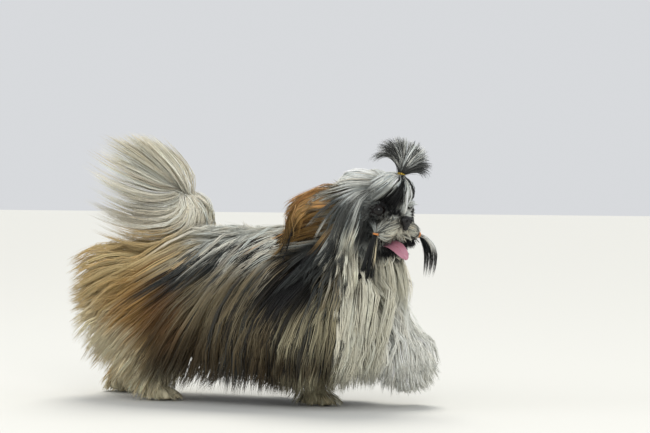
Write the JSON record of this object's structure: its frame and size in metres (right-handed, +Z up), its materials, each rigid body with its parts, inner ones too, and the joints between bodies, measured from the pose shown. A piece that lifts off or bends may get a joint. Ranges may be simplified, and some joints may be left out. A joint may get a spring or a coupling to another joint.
{
  "type": "shih tzu",
  "caption": "Long-coated shih tzu as a still life-size model, trotting with one foreleg lifted, tail plume over the back and topknot tied up.",
  "frame": {"origin": "on the floor, under the middle of the model's box", "axes": "+X towards the head, +Y towards the dog's left, +Z up"},
  "size_m": [0.6188, 0.238, 0.4194],
  "materials": {
    "coat_white": "long silky white hair",
    "coat_cream": "long silky cream hair",
    "coat_gold": "long silky golden brown hair",
    "coat_brown": "long silky grey-brown hair",
    "coat_grey": "long silky silver-grey hair",
    "coat_black": "long silky black hair",
    "elastic_yellow": "matt elastic",
    "elastic_orange": "matt elastic",
    "eye": "wet gloss",
    "nose_leather": "moist black leather",
    "tongue": "moist pink"
  },
  "bodies": {
    "root": {"head": "coat_grey", "muzzle": "coat_cream", "chin": "coat_black", "ear_right": "coat_gold", "ear_left": "coat_gold", "neck": "coat_grey", "chest": "coat_white", "trunk": "coat_brown", "rump": "coat_gold", "tail": "coat_cream", "foreleg_right": "coat_brown", "paw_fore_right": "coat_brown", "foreleg_left": "coat_white", "paw_fore_left": "coat_white", "hindleg_right": "coat_gold", "paw_hind_right": "coat_cream", "hindleg_left": "coat_gold", "paw_hind_left": "coat_cream", "topknot": "coat_grey", "moustache_tail_right": "coat_black", "moustache_tail_left": "coat_black", "topknot_band": "elastic_yellow", "moustache_band_right": "elastic_orange", "moustache_band_left": "elastic_orange", "eye_right": "eye", "eye_left": "eye", "nose": "nose_leather", "tongue": "tongue"}
  },
  "joints": []
}
